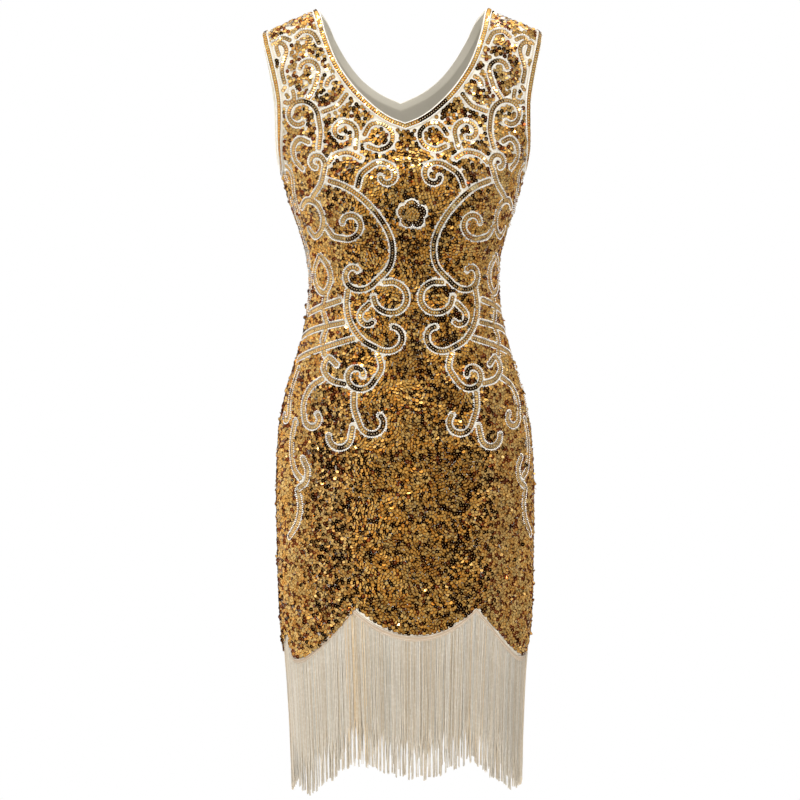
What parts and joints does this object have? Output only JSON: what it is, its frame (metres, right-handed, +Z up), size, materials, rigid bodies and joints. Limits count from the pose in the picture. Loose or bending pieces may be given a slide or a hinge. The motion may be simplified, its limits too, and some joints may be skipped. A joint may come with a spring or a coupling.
{
  "type": "sequinned fringe dress",
  "caption": "Sleeveless knee-length sheath dress of gold sequins with a V neckline, beaded scrolls, a scalloped hem and a long ivory fringe.",
  "frame": {"origin": "midway between the two shoulder seams at their mean height, where the wearer's shoulders carry the dress", "axes": "+Z up along the body, the front of the dress faces -Y, its own left side is at +X"},
  "size_m": [0.357, 0.2456, 0.9973],
  "materials": {
    "gold_sequins": "net closely covered with small mirror-bright gold sequins, some lying at every angle",
    "ivory_net": "matt ivory net ground that shows between the sequins",
    "ivory_beads": "glossy ivory seed beads in double rows",
    "lining_cloth": "smooth greige knitted lining with a slight sheen",
    "header_tape": "pale peach woven tape with a satin face",
    "ivory_yarn": "ivory rayon chainette yarn with a soft sheen"
  },
  "bodies": {
    "root": {"front_panel": "gold_sequins", "back_panel": "gold_sequins", "back_lining": "lining_cloth", "neck_trim_front": "ivory_beads", "neck_trim_back": "ivory_beads", "armhole_trim_left": "ivory_beads", "armhole_trim_right": "ivory_beads", "hem_tape_front": "header_tape", "hem_tape_back": "header_tape", "fringe_front": "ivory_yarn", "fringe_back": "ivory_yarn"}
  },
  "joints": []
}
